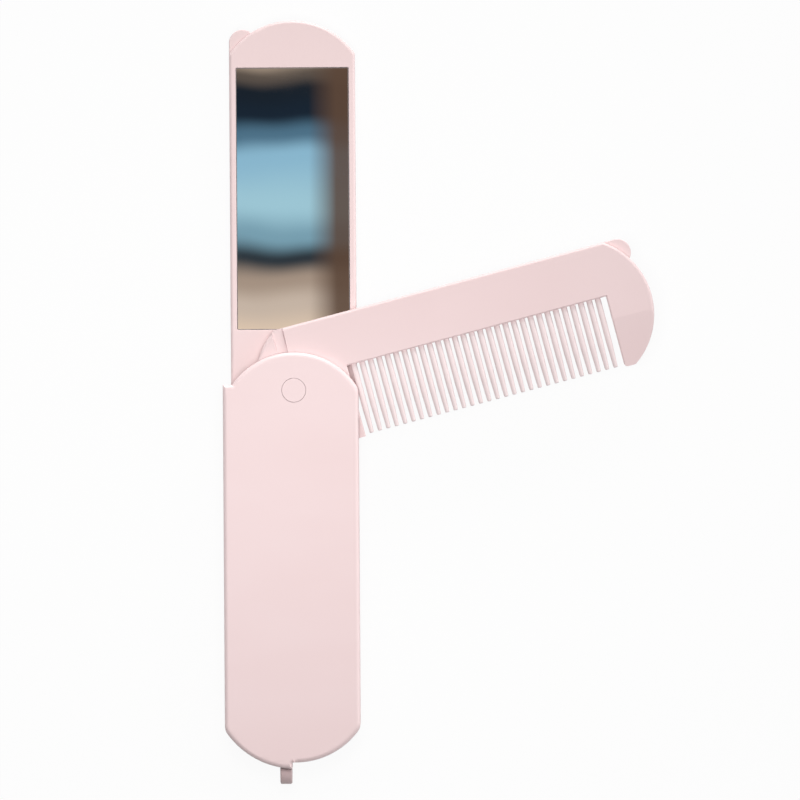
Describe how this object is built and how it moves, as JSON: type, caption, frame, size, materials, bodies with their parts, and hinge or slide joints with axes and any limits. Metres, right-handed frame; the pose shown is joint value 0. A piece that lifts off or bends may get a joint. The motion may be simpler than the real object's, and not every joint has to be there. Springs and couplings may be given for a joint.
{
  "type": "folding mirror comb",
  "caption": "Folding pocket comb and mirror: a comb arm and a framed mirror arm swing on one pivot out of a flat two-shell handle with a lanyard lug at its end.",
  "frame": {"origin": "on the pivot axis, at the handle's flat rear face", "axes": "+Z out of the front cover along the pivot, +Y from the handle towards the opened mirror arm, +X towards the side of the handle that the arms fold in through"},
  "size_m": [0.1115, 0.1975, 0.011],
  "materials": {
    "pink_shell": "satin moulded ABS, pale pink",
    "pink_comb": "satin moulded ABS, pale pink",
    "pink_frame": "satin moulded ABS, pale pink",
    "mauve_lug": "satin moulded plastic, greyed pink",
    "mirror_silver": "silvered glass with a ground edge",
    "foam_tape": "white double-sided foam tape",
    "shim_acetal": "natural acetal sheet",
    "spring_steel": "hardened strip",
    "screw_steel": "zinc plated",
    "insert_brass": "turned"
  },
  "bodies": {
    "handle": {"front_cover": "pink_shell", "rear_case": "pink_shell", "pivot_cap": "pink_shell", "lanyard_loop": "mauve_lug", "pivot_screw": "screw_steel", "screw_washer": "screw_steel", "pivot_insert": "insert_brass", "rear_washer": "shim_acetal", "middle_washer": "shim_acetal", "front_washer": "shim_acetal", "spring_washer": "spring_steel"},
    "mirror_arm": {"mirror_frame": "pink_frame", "mirror_glass": "mirror_silver", "mirror_tape": "foam_tape"},
    "comb_arm": {"comb_arm": "pink_comb"}
  },
  "joints": [
    {"name": "mirror_pivot", "type": "hinge", "parent": "handle", "child": "mirror_arm", "pos_m": [0, 0, 0.0035], "axis": [0, 0, 1], "range_deg": [-180, 0]},
    {"name": "comb_pivot", "type": "hinge", "parent": "handle", "child": "comb_arm", "pos_m": [0, 0, 0.0072], "axis": [0, 0, 1], "range_deg": [-104.6, 75.4]}
  ]
}
